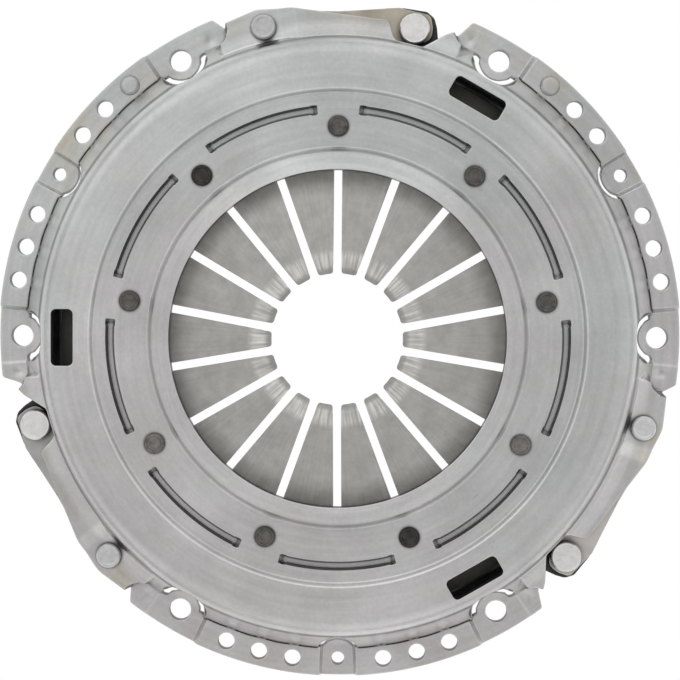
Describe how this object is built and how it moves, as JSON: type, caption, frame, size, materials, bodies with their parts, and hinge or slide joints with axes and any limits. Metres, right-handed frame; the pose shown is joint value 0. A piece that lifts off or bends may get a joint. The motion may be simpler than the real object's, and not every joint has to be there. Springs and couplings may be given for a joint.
{
  "type": "clutch pressure plate",
  "caption": "Clutch cover assembly: a pressed-steel cover with a bolted flange carries a fingered diaphragm spring and a cast ring plate that it presses against a driven disc.",
  "frame": {"origin": "centre of the bolt circle, on the face of the flange that seats on the flywheel", "axes": "+Z along the clutch's axis towards the gearbox, so the fingers face +Z; +X passes through a bolt hole"},
  "size_m": [0.2826, 0.2776, 0.0466],
  "materials": {
    "pressed_steel": "satin pressed sheet",
    "cast_iron": "as cast with a ground face",
    "spring_steel": "oiled heat-treated steel",
    "dark_rivet": "phosphated",
    "bright_rivet": "bright upset head",
    "strap_steel": "rolled strip"
  },
  "bodies": {
    "cover": {"cover": "pressed_steel", "diaphragm_spring": "spring_steel", "lower_pivot_ring": "spring_steel", "pivot_rivet_1": "dark_rivet", "pivot_rivet_2": "dark_rivet", "pivot_rivet_3": "dark_rivet", "pivot_rivet_4": "dark_rivet", "pivot_rivet_5": "dark_rivet", "pivot_rivet_6": "dark_rivet", "pivot_rivet_7": "dark_rivet", "pivot_rivet_8": "dark_rivet", "pivot_rivet_9": "dark_rivet", "cover_strap_rivet_1": "bright_rivet", "cover_strap_rivet_2": "bright_rivet", "cover_strap_rivet_3": "bright_rivet", "strap_1_leaf_1": "strap_steel", "strap_1_leaf_2": "strap_steel", "strap_1_leaf_3": "strap_steel", "strap_2_leaf_1": "strap_steel", "strap_2_leaf_2": "strap_steel", "strap_2_leaf_3": "strap_steel", "strap_3_leaf_1": "strap_steel", "strap_3_leaf_2": "strap_steel", "strap_3_leaf_3": "strap_steel", "balance_rivet_1": "pressed_steel", "balance_rivet_2": "pressed_steel"},
    "pressure_plate": {"pressure_plate": "cast_iron", "lug_rivet_1": "bright_rivet", "lug_rivet_2": "bright_rivet", "lug_rivet_3": "bright_rivet"}
  },
  "joints": [
    {"name": "plate_lift", "type": "slide", "parent": "cover", "child": "pressure_plate", "axis": [0, 0, 1], "range_m": [0, 0.004], "stiffness_N_per_m": 20000, "springref_m": -0.005, "deforming": ["diaphragm_spring", "strap_1_leaf_1", "strap_1_leaf_2", "strap_1_leaf_3", "strap_2_leaf_1", "strap_2_leaf_2", "strap_2_leaf_3", "strap_3_leaf_1", "strap_3_leaf_2", "strap_3_leaf_3"]}
  ]
}
